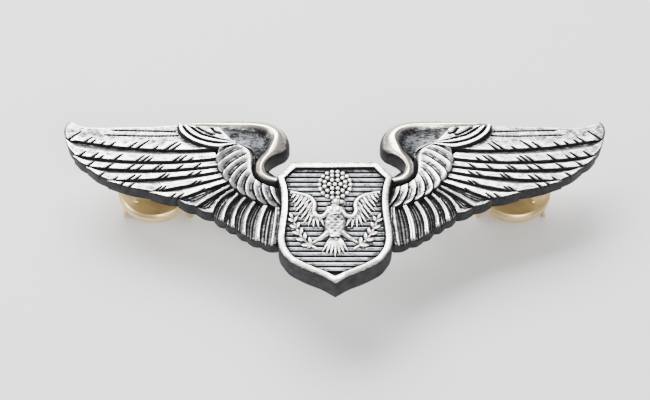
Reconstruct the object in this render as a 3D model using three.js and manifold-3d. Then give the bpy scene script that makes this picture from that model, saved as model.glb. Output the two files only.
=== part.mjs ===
// A pair of struck metal wings on a shield, pinned on with two posts and two butterfly clutches.
// The badge lies face up: +X to the wearer's left, +Y to its top edge, +Z out of its face.
// The origin is on the flat back of the shield. Lengths are in millimetres.

import * as THREE from "three";
import { mergeVertices } from "three/addons/utils/BufferGeometryUtils.js";
import Module from "manifold-3d";

const wasm = await Module();
wasm.setup();

// Driving dimensions: the struck badge
const HALF_SPAN = 38;
const SHIELD_THICKNESS = 3.9;
const SHIELD_FIELD = 3.1;
const SHIELD_RIM = 1.0;
const STRIPE_PITCH = 0.8;
const STRIPE_WIDTH = 0.5;
const STRIPE_HEIGHT = 0.2;
const DEVICE_HEIGHT = 0.65;
const VANE_FLOOR = 1.7;
const FEATHER_TOP = 2.3;
const FEATHER_GAP = 0.28;
const TIP_STEP = 0.4;
const COVERT_TOP = 2.8;
const ALULA_TOP = 2.9;
const ROLL_TOP = 3.3;
const ROLL_STEP = 0.3; // how far the roll's crown steps in and up from its sides

// Driving dimensions: the post and the clutch on it
const POST_X = 25.2;
const POST_Y = 5.7;
const PAD_RADIUS = 2.6;
const PAD_THICKNESS = 0.5;
const POST_RADIUS = 0.52;
const POST_LENGTH = 6.8;
const POST_GROOVE = 0.12;
const CLUTCH_FACE = -2.4; // the clutch's face below the badge's back, with its bow against the post's point
const CUP_RADIUS = 5.25;
const CUP_DEPTH = 1.35;
const SHEET = 0.3; // the sprung strip's thickness
const CUP_SHEET = 0.35;
const LEAF_HOLE = 1.2;
const LEAF_TRAVEL = 0.6;
const LEAF_HALF_WIDTH = 2.2;
const LEG_AT = 2.3;
const LEG_HALF_WIDTH = 1.1;
const BOW_DEPTH = 4.8;
const TAB_DEPTH = 5.6;
const CLEAR = 0.15;

// The inner leaf runs nearest the cup's floor, and the outer leaf crosses under it
const BASE_TOP = -CUP_SHEET;
const INNER_LEAF = BASE_TOP - SHEET - 0.1;
const OUTER_LEAF = INNER_LEAF - SHEET - 0.1;

const silver = new THREE.MeshStandardMaterial({ color: 0xb8b6ae, roughness: 0.35, metalness: 1 });
const brass = new THREE.MeshStandardMaterial({ color: 0xc9a860, roughness: 0.3, metalness: 1 });
const steel = new THREE.MeshStandardMaterial({ color: 0xaeb0b3, roughness: 0.3, metalness: 1 });

// Solids and meshes

function solid(geometry) {
  const bare = geometry.clone();
  bare.deleteAttribute("normal");
  bare.deleteAttribute("uv");
  const merged = mergeVertices(bare, 1e-4);
  return new wasm.Manifold(new wasm.Mesh({
    numProp: 3,
    vertProperties: merged.attributes.position.array,
    triVerts: new Uint32Array(merged.index.array),
  }));
}

function mesh(name, material, body) {
  const made = body.getMesh();
  const geometry = new THREE.BufferGeometry();
  geometry.setAttribute("position", new THREE.BufferAttribute(made.vertProperties, 3));
  geometry.setIndex(new THREE.BufferAttribute(made.triVerts, 1));
  geometry.computeVertexNormals();
  const piece = new THREE.Mesh(geometry, material);
  piece.name = name;
  return piece;
}

const point = (x, y) => new THREE.Vector2(x, y);

function extruded(points, depth) {
  return new THREE.ExtrudeGeometry(new THREE.Shape(points), { depth, bevelEnabled: false });
}

// A flat outline extruded from one height to another
function slab(points, low, high) {
  const geometry = extruded(points, high - low);
  geometry.translate(0, 0, low);
  return solid(geometry);
}

// An outline in the (y, z) plane, extruded to both sides of x = 0
function strip(points, halfWidth) {
  const geometry = extruded(points, 2 * halfWidth);
  geometry.translate(0, 0, -halfWidth);
  const axes = [new THREE.Vector3(0, 1, 0), new THREE.Vector3(0, 0, 1), new THREE.Vector3(1, 0, 0)];
  geometry.applyMatrix4(new THREE.Matrix4().makeBasis(...axes));
  return solid(geometry);
}

function box(low, high) {
  const size = high.map((value, axis) => value - low[axis]);
  const geometry = new THREE.BoxGeometry(...size);
  geometry.translate(...low.map((value, axis) => value + size[axis] / 2));
  return solid(geometry);
}

// A profile of (radius, z) points turned about the Z axis: it ends on the axis, or closes on itself
function turned(profile, segments) {
  const geometry = new THREE.LatheGeometry(profile.map(([r, z]) => point(r, z)), segments);
  geometry.rotateX(Math.PI / 2);
  const body = solid(geometry);
  return body.volume() < 0 ? solid(flipped(geometry)) : body;
}

const disc = (radius, low, high, segments) =>
  turned([[0, high], [radius, high], [radius, low], [0, low]], segments);

function flipped(geometry) {
  const copy = geometry.clone();
  const order = copy.index.array;
  for (let i = 0; i < order.length; i += 3) [order[i + 1], order[i + 2]] = [order[i + 2], order[i + 1]];
  return copy;
}

const join = (bodies) => bodies.reduce((whole, body) => whole.add(body));
const curve = (points) => new THREE.SplineCurve(points.map(([x, y]) => point(x, y)));
const smooth = (points, steps) => curve(points).getPoints(steps);
const mirrored = (points, side) => points.map((p) => point(side * p.x, p.y));

// Points to the inside of a closed outline that runs anticlockwise
function inset(points, distance) {
  return points.map((p, i) => {
    const before = points[(i + points.length - 1) % points.length];
    const after = points[(i + 1) % points.length];
    const edgeIn = p.clone().sub(before).normalize();
    const edgeOut = after.clone().sub(p).normalize();
    const bisector = point(-edgeIn.y - edgeOut.y, edgeIn.x + edgeOut.x).normalize();
    const stretch = distance / Math.max(0.5, bisector.dot(point(-edgeIn.y, edgeIn.x)));
    return p.clone().addScaledVector(bisector, stretch);
  });
}

// The shield

const SHIELD_CORNER = [5.75, 5.55];
const shieldSide = smooth([[7.86, 3.16], [7.27, 0.2], [7.3, -2.8], [7.62, -6.2], [7.3, -8.5]], 10);
const shieldFoot = smooth([[7.3, -8.5], [6.2, -10.1], [3.5, -11.7], [0, -13.65]], 8);

function shieldOutline() {
  const right = [point(...SHIELD_CORNER), ...shieldSide, ...shieldFoot.slice(1)];
  const left = mirrored(right.slice(0, -1), -1).reverse();
  return [...right, ...left].reverse();
}

// A leaf of the laurel: a pointed oval
function leaf(x, y, angle, length, width) {
  const along = point(Math.cos(angle), Math.sin(angle));
  const across = point(-along.y, along.x);
  const steps = 4;
  const side = (sign) => Array.from({ length: steps }, (_, i) => {
    const t = (sign > 0 ? i : steps - i) / steps;
    const half = sign * (width / 2) * Math.sin(Math.PI * t);
    return point(x, y).addScaledVector(along, t * length).addScaledVector(across, half);
  });
  return [...side(1), ...side(-1)];
}

// The struck device: a spread bird under a round beaded boss, over two laurel sprigs
function deviceOutlines() {
  const boss = Array.from({ length: 20 }, (_, i) => {
    const turn = (2 * Math.PI * i) / 20;
    return point(2.25 * Math.cos(turn), 1.95 + 2.1 * Math.sin(turn));
  });
  const body = smooth([[0, -0.75], [0.95, -1.8], [1.45, -3.6], [0.8, -6.2], [0, -6.9]], 8);
  const tail = [point(0.5, -6.2), point(1.75, -8.9), point(0, -9.6), point(-1.75, -8.9), point(-0.5, -6.2)];
  const wing = smooth([
    [1.1, -3.2], [2.1, -2.7], [3.1, -0.6], [5.9, 0.4], [5.2, -2.2], [3.9, -4.3], [1.2, -5.3],
  ], 14);
  const sprig = [0, 1, 2, 3].flatMap((step) => {
    const x = 3.3 + 0.62 * step;
    const y = -8.25 + 1.15 * step;
    return [leaf(x, y, 1.6, 1.5, 0.75), leaf(x - 0.15, y + 0.1, 0.45, 1.45, 0.7)];
  });
  const halves = [wing, ...sprig];
  return [boss, [...body, ...mirrored(body.slice(1, -1), -1).reverse()], tail,
    ...halves, ...halves.map((half) => mirrored(half, -1))];
}

function shield() {
  const outline = shieldOutline();
  const field = inset(outline, SHIELD_RIM);
  const well = slab(field, SHIELD_FIELD, SHIELD_THICKNESS + 1);
  const stripes = [];
  for (let y = 4.2; y > -12; y -= STRIPE_PITCH) {
    stripes.push(box([-8, y - STRIPE_WIDTH, SHIELD_FIELD - 0.2], [8, y, SHIELD_FIELD + STRIPE_HEIGHT]));
  }
  const top = SHIELD_FIELD + DEVICE_HEIGHT;
  const raised = deviceOutlines().map((shape) => slab(shape, SHIELD_FIELD - 0.2, top));
  const bed = slab(inset(outline, SHIELD_RIM / 2), SHIELD_FIELD - 0.3, SHIELD_THICKNESS);
  const relief = join([...stripes, ...raised]).intersect(bed);
  return slab(outline, 0, SHIELD_THICKNESS).subtract(well).add(relief);
}

// The wings: each groove runs from a feather's tip to its root, and bows sideways at its middle
const GROOVES = [
  { tip: [37.6, 10.5], root: [17.0, 8.7], bow: 0.8 },
  { tip: [36.3, 7.7], root: [16.2, 7.2], bow: 0.85 },
  { tip: [34.3, 5.8], root: [16.0, 5.9], bow: 0.65 },
  { tip: [31.3, 3.5], root: [15.5, 5.0], bow: 0.4 },
  { tip: [25.3, 1.6], root: [15.0, 4.1], bow: 0.2 },
  { tip: [21.4, 0.4], root: [14.7, 3.2], bow: 0.0 },
  { tip: [18.8, -0.9], root: [14.1, 2.5], bow: -0.1 },
  { tip: [16.4, -2.0], root: [13.7, 1.8], bow: -0.6 },
  { tip: [14.8, -3.2], root: [13.0, 1.1], bow: -0.5 },
  { tip: [13.3, -4.1], root: [11.9, 0.6], bow: -0.55 },
  { tip: [11.8, -5.3], root: [10.6, -0.2], bow: -0.5 },
  { tip: [9.9, -6.2], root: [9.0, -0.7], bow: -0.3 },
];
const WING_TIP = [
  [35.6, 12.8], [36.5, 13.05], [37.25, 13.45], [37.85, 12.9], [HALF_SPAN, 12.1], [37.85, 11.2],
];
const TOP_EDGE = [
  [6.3, 10.0], [6.65, 11.4], [7.9, 12.7], [10.2, 13.5], [14.6, 13.6], [21.9, 13.1], [29, 12.8],
  [35.6, 12.8],
];
const SHOULDER_NOTCH = [[9.1, 4.5], [9.6, 5.6], [9.0, 6.7], [7.6, 7.4], [6.6, 8.3], [6.3, 9.3]];

// A groove's point, t from 0 at the tip to 1 at the root
function along(groove, t) {
  const tip = point(...groove.tip);
  const root = point(...groove.root);
  const chord = root.clone().sub(tip);
  const sideways = point(-chord.y, chord.x).normalize();
  return tip.addScaledVector(chord, t).addScaledVector(sideways, 4 * groove.bow * t * (1 - t));
}

function wingOutline() {
  const shieldLine = shieldSide.filter((p) => p.y > -7.2);
  const foot = shieldLine[shieldLine.length - 1];
  const scallops = GROOVES.flatMap((groove, i) => {
    const tip = point(...groove.tip);
    const notch = tip.clone().lerp(point(...groove.root), TIP_STEP / tip.distanceTo(point(...groove.root)));
    const next = i + 1 < GROOVES.length ? point(...GROOVES[i + 1].tip) : foot;
    const middle = tip.clone().lerp(next, 0.5);
    const outwards = point(tip.y - next.y, next.x - tip.x).normalize();
    return [notch, tip, middle.addScaledVector(outwards, 0.25)];
  });
  return [
    ...smooth(WING_TIP, 8),
    ...scallops,
    ...shieldLine.slice().reverse(),
    ...smooth(SHOULDER_NOTCH, 10),
    ...smooth(TOP_EDGE, 18).slice(0, -1),
  ];
}

// One feather's vane: the strip between two grooves, drawn in from them
function feather(upper, lower) {
  const ends = [0.02, 0.25, 0.5, 0.75, 1];
  const above = ends.map((t) => along(upper, t));
  const below = ends.map((t) => along(lower, t));
  const gap = (from, to) => FEATHER_GAP / Math.max(FEATHER_GAP * 2.5, from.distanceTo(to));
  const top = above.map((p, i) => p.clone().lerp(below[i], gap(p, below[i])));
  const bottom = below.map((p, i) => p.clone().lerp(above[i], gap(p, above[i]) / 4));
  return [...top, ...bottom.reverse()];
}

const COVERT_OUTER = [
  [14.2, 9.4], [16.1, 7.9], [15.9, 6.2], [15.1, 4.5], [14.2, 3.0], [12.9, 1.75], [11.3, 0.5], [9.9, -0.3],
  [7.4, -0.5],
];
const COVERT_INNER = [[12.8, 8.9], [12.3, 7.7], [11.5, 5.8], [10.0, 3.7], [7.5, 2.8]];
const SCALLOPS = 10;
const SCALLOP_WIDTH = 1.25;
const HOLLOW = [
  [10.2, 3.8], [11.2, 5.4], [12.0, 7.4], [12.6, 8.8], [14.2, 9.4], [14.6, 12.1], [11.0, 11.8], [9.4, 10.6],
  [9.2, 9.2], [9.9, 7.9], [10.6, 5.6],
];
const ALULA = [
  [14.3, 9.3], [15.6, 8.8], [17.5, 9.0], [19.4, 9.9], [20.8, 10.9], [21.6, 11.8], [21.8, 13.0],
];
const ROLL_OUTER = [
  [21.8, 13.0], [14.6, 13.6], [10.2, 13.5], [7.9, 12.7], [6.65, 11.4], [6.3, 10.0], [6.5, 8.6],
  [7.8, 7.4], [9.1, 6.6], [9.5, 5.5], [9.0, 4.5], [7.95, 3.75],
];
const ROLL_INNER = [
  [7.95, 2.9], [10.0, 3.3], [11.0, 4.8], [10.9, 6.2], [9.8, 8.1], [9.3, 9.4], [9.6, 10.6], [11.0, 11.6],
  [14.5, 12.0], [21.8, 12.2],
];

// A covert scallop: a pointed oval across the covert band
function scallop(t) {
  const outer = curve(COVERT_OUTER).getPoint(t);
  const inner = curve(COVERT_INNER).getPoint(t);
  const reach = outer.clone().sub(inner);
  return leaf(inner.x, inner.y, Math.atan2(reach.y, reach.x), reach.length(), SCALLOP_WIDTH);
}

function wing(side) {
  const outline = mirrored(wingOutline(), side);
  const raised = (points, low, high) => slab(mirrored(points, side), low, high);
  const topGroove = { tip: [37.5, 13.2], root: [16.5, 11.5], bow: 0.2 };
  const lastGroove = { tip: [7.9, -6.9], root: [7.5, -0.9], bow: 0.2 };
  const all = [topGroove, ...GROOVES, lastGroove];
  const root = VANE_FLOOR - 0.3;
  const vanes = all.slice(1).map((groove, i) => raised(feather(all[i], groove), root, FEATHER_TOP));
  const bandOutline = [...smooth(COVERT_OUTER, 14), ...smooth(COVERT_INNER, 8).reverse()];
  const coverts = [raised(bandOutline, root, COVERT_TOP - 0.3)];
  for (let i = 0; i < SCALLOPS; i++) coverts.push(raised(scallop((i + 0.5) / SCALLOPS), root, COVERT_TOP));
  const hollow = raised(smooth(HOLLOW, 20), 1, COVERT_TOP - 0.5);
  const alula = raised([...smooth(ALULA, 8), point(14.5, 12.2)], root, ALULA_TOP);
  const rollOutline = [...smooth(ROLL_OUTER, 24), ...smooth(ROLL_INNER, 16)];
  const rollCrown = inset(rollOutline, ROLL_STEP);
  const roll = raised(rollOutline, 0.3, ROLL_TOP - ROLL_STEP).add(raised(rollCrown, 0.3, ROLL_TOP));
  const relief = join([...vanes, ...coverts, hollow, alula, roll]);
  const trimmed = relief.intersect(slab(outline, 0, ROLL_TOP + 1));
  return slab(outline, 0, VANE_FLOOR).add(trimmed);
}

// The post and its pad

function pad() {
  return disc(PAD_RADIUS, -PAD_THICKNESS, 0, 32);
}

function post() {
  const grooveAt = 1.9 - POST_LENGTH;
  const neck = POST_RADIUS - POST_GROOVE;
  const shoulder = 0.8 - POST_LENGTH;
  return turned([
    [0, -PAD_THICKNESS], [POST_RADIUS, -PAD_THICKNESS], [POST_RADIUS, grooveAt + 0.35],
    [neck, grooveAt + 0.15], [neck, grooveAt - 0.15], [POST_RADIUS, grooveAt - 0.35],
    [POST_RADIUS, shoulder], [0.12, 0.05 - POST_LENGTH], [0, -POST_LENGTH],
  ], 20);
}

// The clutch: a cup whose two ears hold the bow, and two sprung leaves that cross and grip the post.
// Heights are measured from the cup's face.

function cup() {
  const lip = CUP_RADIUS - CUP_SHEET;
  const wall = turned([
    [0.75, -0.35], [1.5, 0], [CUP_RADIUS - 0.4, 0], [CUP_RADIUS, -0.4],
    [CUP_RADIUS, -CUP_DEPTH], [lip, -CUP_DEPTH], [lip, -0.55], [lip - 0.2, -CUP_SHEET],
    [1.7, -CUP_SHEET], [1.05, -0.62], [0.75, -0.62], [0.75, -0.35],
  ], 40);
  const nubs = [45, 135, 225, 315].map((degrees) => {
    const turn = THREE.MathUtils.degToRad(degrees);
    const nub = turned([[0, 0.22], [0.28, 0.1], [0.42, -0.1], [0, -0.1]], 10);
    return nub.translate([3.5 * Math.cos(turn), 3.5 * Math.sin(turn), 0]);
  });
  const ears = [1, -1].map((side) => {
    const near = side * (CUP_RADIUS - 1.25);
    const far = side * (CUP_RADIUS - CUP_SHEET / 2);
    const [low, high] = [Math.min(near, far), Math.max(near, far)];
    return box([low, -1.2, -0.35 - CUP_SHEET - SHEET], [high, 1.2, -0.05 - CUP_SHEET - SHEET]);
  });
  return join([wall, ...nubs, ...ears]);
}

function bow() {
  const reach = CUP_RADIUS - 0.7;
  const rim = disc(reach, BASE_TOP - SHEET, BASE_TOP, 40);
  const width = LEG_AT + SHEET;
  const base = rim.intersect(box([-reach, -width, -2], [reach, width, 0]));
  const opening = disc(1.9, -2, 0, 24);
  const crown = LEG_AT - 0.9;
  const top = BASE_TOP - SHEET / 2;
  const arch = (half, depth) => {
    const radius = half - crown;
    const corner = (sign) => Array.from({ length: 6 }, (_, i) => {
      const turn = (Math.PI / 2) * (sign > 0 ? i / 5 : 1 - i / 5);
      return point(sign * (crown + radius * Math.cos(turn)), -depth + radius * (1 - Math.sin(turn)));
    });
    return [point(half, top), ...corner(1), ...corner(-1), point(-half, top)];
  };
  const outside = strip(arch(width, BOW_DEPTH), LEG_HALF_WIDTH);
  const inside = strip(arch(LEG_AT, BOW_DEPTH - SHEET), LEG_HALF_WIDTH + 1);
  return base.subtract(opening).add(outside.subtract(inside.add(base)));
}

// The waste outside one rounded corner of a finger tab's end
function tabCorner(hand) {
  const radius = 1.1;
  const arc = Array.from({ length: 6 }, (_, i) => {
    const turn = ((Math.PI / 2) * i) / 5;
    const x = LEAF_HALF_WIDTH - radius + radius * Math.sin(turn);
    return point(hand * x, -TAB_DEPTH + radius * (1 - Math.cos(turn)));
  });
  const outside = [point(4, radius - TAB_DEPTH), point(4, -TAB_DEPTH - 1), point(1.1, -TAB_DEPTH - 1)];
  const waste = extruded([...arc, ...mirrored(outside, hand)], 12);
  waste.rotateX(Math.PI / 2);
  waste.translate(0, 6, 0);
  return solid(waste);
}

// One leaf with its finger tab at y > 0, or y < 0 for side -1.
// Its hole stands off the post until the tab is squeezed in.
function jaw(top, side) {
  const floor = top - SHEET;
  const outer = [[-1.5, top], [3.35, top], [3.75, top - 0.15], [3.95, top - 0.5], [5.0, -TAB_DEPTH]];
  const inner = [
    [4.72, -TAB_DEPTH], [3.66, floor - 0.45], [3.55, floor - 0.1], [3.35, floor], [-1.5, floor],
  ];
  const section = [...outer, ...inner].map(([y, z]) => point(side * y, z));
  const hole = disc(LEAF_HOLE, -1, 1, 24).translate([0, side * LEAF_TRAVEL, top]);
  const near = LEG_AT - CLEAR;
  const far = LEG_AT + SHEET + LEAF_TRAVEL + CLEAR;
  const [low, high] = side > 0 ? [near, far] : [-far, -near];
  const half = LEG_HALF_WIDTH + CLEAR;
  const slot = box([-half, low, floor - 1], [half, high, top + 1]);
  const waste = join([hole, slot, tabCorner(1), tabCorner(-1)]);
  return strip(section, LEAF_HALF_WIDTH).subtract(waste);
}

// The badge

const badge = new THREE.Group();
badge.add(mesh("shield", silver, shield()));
for (const [hand, side] of [["left", -1], ["right", 1]]) {
  badge.add(mesh(`${hand}_wing`, silver, wing(side)));

  const fastening = new THREE.Group();
  fastening.position.set(side * POST_X, POST_Y, 0);
  fastening.add(mesh(`${hand}_post_pad`, silver, pad()));
  fastening.add(mesh(`${hand}_post`, steel, post()));

  const clutch = new THREE.Group();
  clutch.position.set(0, 0, CLUTCH_FACE);
  clutch.rotation.z = Math.PI / 2; // the upper jaw's tab points to -X and the lower jaw's to +X
  clutch.add(mesh(`${hand}_clutch_cup`, brass, cup()));
  clutch.add(mesh(`${hand}_clutch_bow`, brass, bow()));
  clutch.add(mesh(`${hand}_clutch_upper_jaw`, brass, jaw(INNER_LEAF, 1)));
  clutch.add(mesh(`${hand}_clutch_lower_jaw`, brass, jaw(OUTER_LEAF, -1)));
  fastening.add(clutch);
  badge.add(fastening);
}

export default badge;
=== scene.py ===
import math
from bisect import bisect_right

import bpy
from mathutils import Matrix, Vector
from mathutils.bvhtree import BVHTree


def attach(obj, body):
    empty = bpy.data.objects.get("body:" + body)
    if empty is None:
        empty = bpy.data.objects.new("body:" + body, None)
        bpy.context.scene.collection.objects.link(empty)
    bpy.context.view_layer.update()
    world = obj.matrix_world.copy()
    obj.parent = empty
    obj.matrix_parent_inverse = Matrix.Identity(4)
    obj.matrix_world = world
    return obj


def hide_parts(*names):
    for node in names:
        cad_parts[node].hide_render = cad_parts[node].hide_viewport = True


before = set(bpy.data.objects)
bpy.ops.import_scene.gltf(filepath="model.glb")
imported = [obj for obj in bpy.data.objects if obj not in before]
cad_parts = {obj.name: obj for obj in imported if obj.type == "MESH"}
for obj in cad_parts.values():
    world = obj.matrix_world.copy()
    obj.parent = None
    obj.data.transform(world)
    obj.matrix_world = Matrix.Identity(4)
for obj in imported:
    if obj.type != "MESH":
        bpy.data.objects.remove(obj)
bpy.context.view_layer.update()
finest = 0.065   # the spacing of a relief's points, in millimetres

# Everything is modelled in millimetres, and toMetres() brings a finished piece to the frame's metres.


# Small tools

def choose(*pieces):
    bpy.ops.object.select_all(action="DESELECT")
    for piece in pieces:
        piece.select_set(True)
    if pieces:
        bpy.context.view_layer.objects.active = pieces[0]


def named(name):
    piece = bpy.context.object
    piece.name = name
    piece.data.name = name
    return piece


def joined(name, pieces):
    choose(*pieces)
    bpy.ops.object.join()
    return named(name)


def copyOf(piece, name):
    choose(piece)
    bpy.ops.object.duplicate()
    return named(name)


def applied(piece):
    choose(piece)
    bpy.ops.object.transform_apply(location=True, rotation=True, scale=True)
    return piece


def moved(piece, place=(0, 0, 0), turn=0.0, size=1.0):
    piece.data.transform(Matrix.Translation(place) @ Matrix.Rotation(turn, 4, "Z") @ Matrix.Scale(size, 4))
    return piece


def editAll(piece):
    choose(piece)
    bpy.ops.object.mode_set(mode="EDIT")
    bpy.ops.mesh.select_all(action="SELECT")


def facedOut(piece):
    editAll(piece)
    bpy.ops.mesh.normals_make_consistent(inside=False)
    bpy.ops.object.mode_set(mode="OBJECT")
    return piece


def mirroredCopy(piece, name):
    copy = copyOf(piece, name)
    copy.scale.x = -1
    return facedOut(applied(copy))


def toMetres(piece):
    piece.scale = (0.001, 0.001, 0.001)
    return applied(piece)


def smoothShaded(piece, degrees=40):
    choose(piece)
    bpy.ops.object.shade_smooth_by_angle(angle=math.radians(degrees))
    return piece


def withModifier(piece, kind, **settings):
    choose(piece)
    modifier = piece.modifiers.new(kind.lower(), kind)
    for key, value in settings.items():
        setattr(modifier, key, value)
    bpy.ops.object.modifier_apply(modifier=modifier.name)
    return piece


def softened(piece, width, segments=2, degrees=35):
    return withModifier(piece, "BEVEL", width=width, segments=segments, limit_method="ANGLE",
                        angle_limit=math.radians(degrees), harden_normals=False)


# Curves and heights

def step(low, high, value):
    t = min(1.0, max(0.0, (value - low) / (high - low)))
    return t * t * (3 - 2 * t)


def blend(a, b, t):
    return a + (b - a) * t


def splinePath(points, pieces=10):   # points of a smooth curve through the given ones
    spots = [Vector(p) for p in points]
    spots = [spots[0] * 2 - spots[1]] + spots + [spots[-1] * 2 - spots[-2]]
    path = []
    for i in range(1, len(spots) - 2):
        a, b, c, d = spots[i - 1:i + 3]
        for k in range(pieces):
            t = k / pieces
            path.append(0.5 * (2 * b + (c - a) * t + (2 * a - 5 * b + 4 * c - d) * t * t
                               + (3 * b - a - 3 * c + d) * t ** 3))
    path.append(spots[-2].copy())
    return path


def evenCurve(path):   # a function that gives the point at a share of the path's length
    reach = [0.0]
    for a, b in zip(path, path[1:]):
        reach.append(reach[-1] + (b - a).length)

    def at(t):
        want = min(1.0, max(0.0, t)) * reach[-1]
        k = min(len(path) - 2, max(0, bisect_right(reach, want) - 1))
        span = reach[k + 1] - reach[k]
        return path[k].lerp(path[k + 1], (want - reach[k]) / span if span else 0)
    at.length = reach[-1]
    return at


def curve(points, pieces=10):
    return evenCurve(splinePath(points, pieces))


def evenCuts(count):
    return [i / count for i in range(count + 1)]


def engraved(point, strokes, depth, width):   # how deep the strokes cut here; each opens at its start
    cut = 0.0
    for a, b in strokes:
        run = b - a
        t = min(1.0, max(0.0, (point - a).dot(run) / run.length_squared))
        away, half = (point - a - run * t).length, width * (1.25 - 0.65 * t)
        if away < 3 * half:
            cut = max(cut, depth * (1 - 0.2 * t) * math.exp(-(away / half) ** 2))
    return cut


# Relief sheets and plates

def sheet(name, alongCuts, acrossCuts, place, foot):
    columns, rows = len(alongCuts) - 1, len(acrossCuts) - 1
    choose()
    bpy.ops.mesh.primitive_grid_add(x_subdivisions=columns, y_subdivisions=rows, size=1)
    piece = named(name)
    for vertex in piece.data.vertices:
        i = round((vertex.co.x + 0.5) * columns)
        j = round((vertex.co.y + 0.5) * rows)
        vertex.co = place(alongCuts[i], acrossCuts[j])
    bpy.ops.object.mode_set(mode="EDIT")
    bpy.ops.mesh.select_mode(type="EDGE")
    bpy.ops.mesh.select_all(action="DESELECT")
    bpy.ops.mesh.select_non_manifold()
    bpy.ops.mesh.extrude_edges_move()
    bpy.ops.transform.resize(value=(1, 1, 0), center_override=(0, 0, foot))
    bpy.ops.mesh.edge_face_add()
    bpy.ops.mesh.select_mode(type="VERT")
    bpy.ops.object.mode_set(mode="OBJECT")
    return facedOut(piece)


def plate(name, outline, low, high):   # a flat shape with upright sides
    choose()
    bpy.ops.mesh.primitive_circle_add(vertices=len(outline), fill_type="NGON", radius=1)
    piece = named(name)
    for vertex, spot in zip(piece.data.vertices, outline):
        vertex.co = (spot[0], spot[1], low)
    editAll(piece)
    bpy.ops.mesh.extrude_region_move(TRANSFORM_OT_translate={"value": (0, 0, high - low)})
    bpy.ops.object.mode_set(mode="OBJECT")
    return facedOut(piece)


def stacked(name, rings):   # a solid whose cross-sections are the given rings of points, lowest first
    choose()
    bpy.ops.mesh.primitive_circle_add(vertices=len(rings[0]), fill_type="NGON", radius=1)
    piece = named(name)
    for vertex, spot in zip(piece.data.vertices, rings[0]):
        vertex.co = spot
    bpy.ops.object.mode_set(mode="EDIT")
    bpy.ops.mesh.select_mode(type="FACE")
    bpy.ops.mesh.select_all(action="SELECT")
    for before, after in zip(rings, rings[1:]):
        bpy.ops.mesh.extrude_region_move(TRANSFORM_OT_translate={"value": (0, 0, 0)})
        bpy.ops.object.mode_set(mode="OBJECT")
        places = {(round(p[0], 4), round(p[1], 4)): q for p, q in zip(before, after)}
        for vertex in piece.data.vertices:
            if vertex.select:
                vertex.co = places[(round(vertex.co.x, 4), round(vertex.co.y, 4))]
        bpy.ops.object.mode_set(mode="EDIT")
    bpy.ops.mesh.select_mode(type="VERT")
    bpy.ops.object.mode_set(mode="OBJECT")
    return facedOut(piece)


# The wing's plan, right-hand side

wingPlan = {
    "grooves": [   # each feather's groove: tip, root, and how far its middle bows aside
        ((37.6, 10.5), (17.0, 8.7), 0.8), ((36.3, 7.7), (16.2, 7.2), 0.85),
        ((34.3, 5.8), (16.0, 5.9), 0.65), ((31.3, 3.5), (15.5, 5.0), 0.4),
        ((25.3, 1.6), (15.0, 4.1), 0.2), ((21.4, 0.4), (14.7, 3.2), 0.0),
        ((18.8, -0.9), (14.1, 2.5), -0.1), ((16.4, -2.0), (13.7, 1.8), -0.6),
        ((14.8, -3.2), (13.0, 1.1), -0.5), ((13.3, -4.1), (11.9, 0.6), -0.55),
        ((11.8, -5.3), (10.6, -0.2), -0.5), ((9.9, -6.2), (9.0, -0.7), -0.3),
        ((7.75, -6.9), (7.35, -0.9), 0.2),
    ],
    "topEdge": [(16.5, 13.3), (21.9, 13.05), (27, 12.8), (31, 12.68), (34.2, 12.66), (35.6, 12.85),
                (36.4, 13.15), (37.0, 13.55)],
    "wingTip": [(37.35, 13.6), (37.65, 13.3), (37.88, 12.8), (37.96, 12.1), (37.85, 11.4), (37.62, 10.85)],
    "tipStep": 0.4, "innerTipStep": 0.15,   # how far short of its tip a groove stops
    "bulge": 0.25,
    "nicks": [   # barbs parted on the six longest feathers: where each meets the lower edge, and its reach
        [(37.2, 1.3), (34.9, 0.8), (34.0, 0.55), (32.6, 0.5), (31.3, 0.6), (28.7, 0.9), (27.6, 1.3),
         (23.6, 1.3), (22.7, 1.0), (25.2, 0.5)],
        [(35.4, 0.7), (33.7, 0.8), (32.6, 0.5), (30.6, 0.9), (27.5, 0.9), (26.8, 0.9), (26.0, 0.6),
         (22.4, 0.9), (21.6, 0.9), (20.2, 0.5)],
        [(34.2, 0.8), (31.6, 1.1), (28.6, 1.0), (27.3, 0.7), (25.1, 0.9), (24.4, 0.6), (21.8, 0.7),
         (19.5, 0.8)],
        [(32.4, 0.6), (30.4, 0.5), (28.4, 0.8), (27.5, 0.7), (24.3, 0.8), (23.5, 0.6), (20.2, 0.6),
         (19.2, 0.6)],
        [(29.3, 0.5), (28.2, 0.7), (24.6, 0.7), (23.8, 0.6), (19.7, 0.6), (18.9, 0.5)],
        [(22.4, 0.6), (21.5, 0.7), (18.4, 0.5)],
    ],
    "nickRise": 0.85,
    "topLines": [[(22.4, 11.8), (25.0, 11.9), (27.3, 11.97), (31.2, 12.05)],
                 [(22.0, 11.1), (25.0, 11.05), (28.0, 11.1), (32.2, 11.25)]],
}
featherShape = {
    "low": 1.9, "crest": 2.3, "lip": 1.68,   # heights of the upper edge, of the ridge and of the lower edge
    "drop": 0.2, "dropPower": 1.6, "foot": 0.15,
    "topLevel": 2.16, "topSwell": 0.12, "topRound": 0.3,   # the topmost feather, rounded at its upper edge
    "troughDepth": 0.08, "veinHeight": 0.075, "veinPitch": 0.21,   # the short inner feathers
    "nickDepth": 0.5, "nickWidth": 0.115, "lineDepth": 0.32, "lineWidth": 0.1, "endFall": 0.22,
    "primaries": 6,
}


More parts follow.
